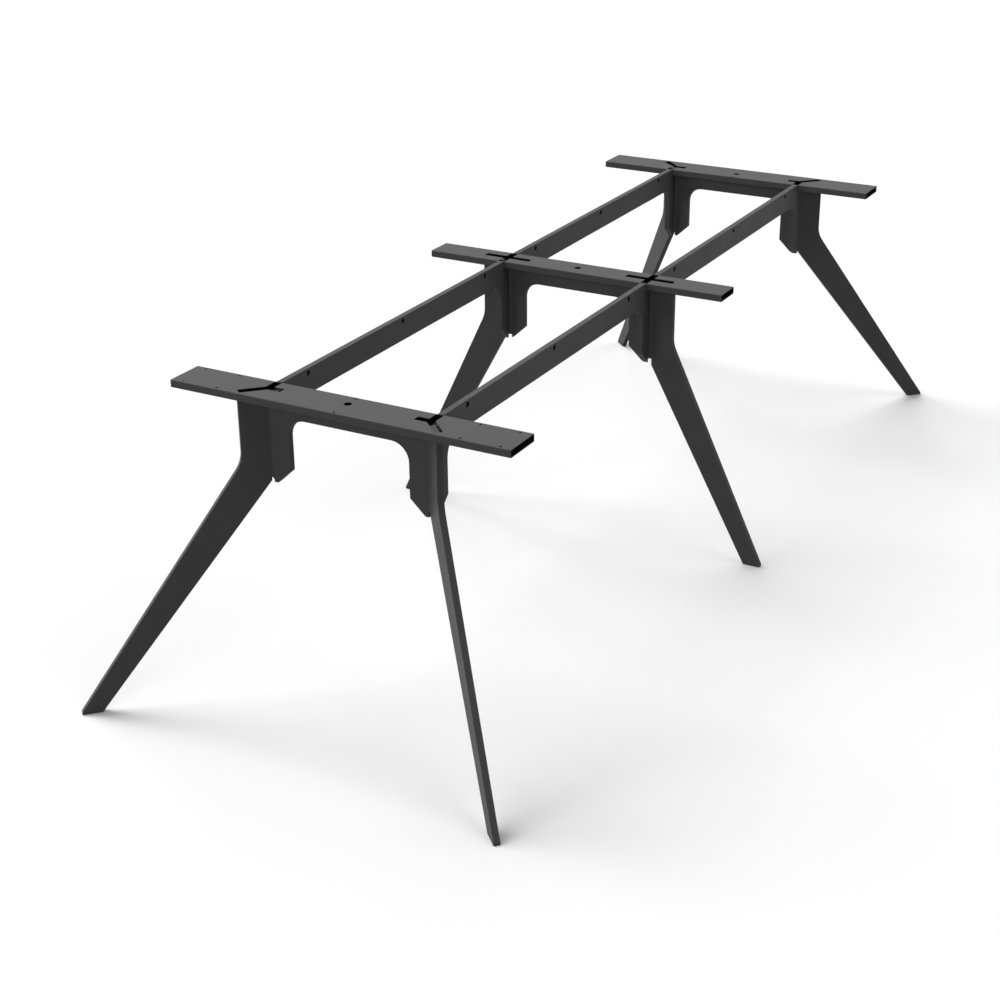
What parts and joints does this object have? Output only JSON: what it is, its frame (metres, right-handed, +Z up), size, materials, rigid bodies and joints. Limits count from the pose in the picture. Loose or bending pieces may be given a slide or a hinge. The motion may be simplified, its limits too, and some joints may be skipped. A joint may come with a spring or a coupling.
{
  "type": "table frame",
  "caption": "Long steel table underframe: flat slotted cross rails on splayed sheet legs folded back to back, tied by flat-bar beams, open for a loose top.",
  "frame": {"origin": "on the floor under the middle of the frame", "axes": "+Z up, +Y along the beams, +X along the cross rails"},
  "size_m": [1.091, 2.8536, 0.74],
  "materials": {
    "powder_coat": "fine-textured matt charcoal powder coat"
  },
  "bodies": {
    "root": {"front_rail": "powder_coat", "middle_rail": "powder_coat", "rear_rail": "powder_coat", "front_leg_apron_sheet": "powder_coat", "front_inner_apron_sheet": "powder_coat", "front_left_corner_sheet": "powder_coat", "front_right_corner_sheet": "powder_coat", "rear_leg_apron_sheet": "powder_coat", "rear_inner_apron_sheet": "powder_coat", "rear_left_corner_sheet": "powder_coat", "rear_right_corner_sheet": "powder_coat", "middle_front_apron_sheet": "powder_coat", "middle_rear_apron_sheet": "powder_coat", "middle_left_front_corner_sheet": "powder_coat", "middle_left_rear_corner_sheet": "powder_coat", "middle_right_front_corner_sheet": "powder_coat", "middle_right_rear_corner_sheet": "powder_coat", "front_left_beam": "powder_coat", "front_right_beam": "powder_coat", "rear_left_beam": "powder_coat", "rear_right_beam": "powder_coat"}
  },
  "joints": []
}
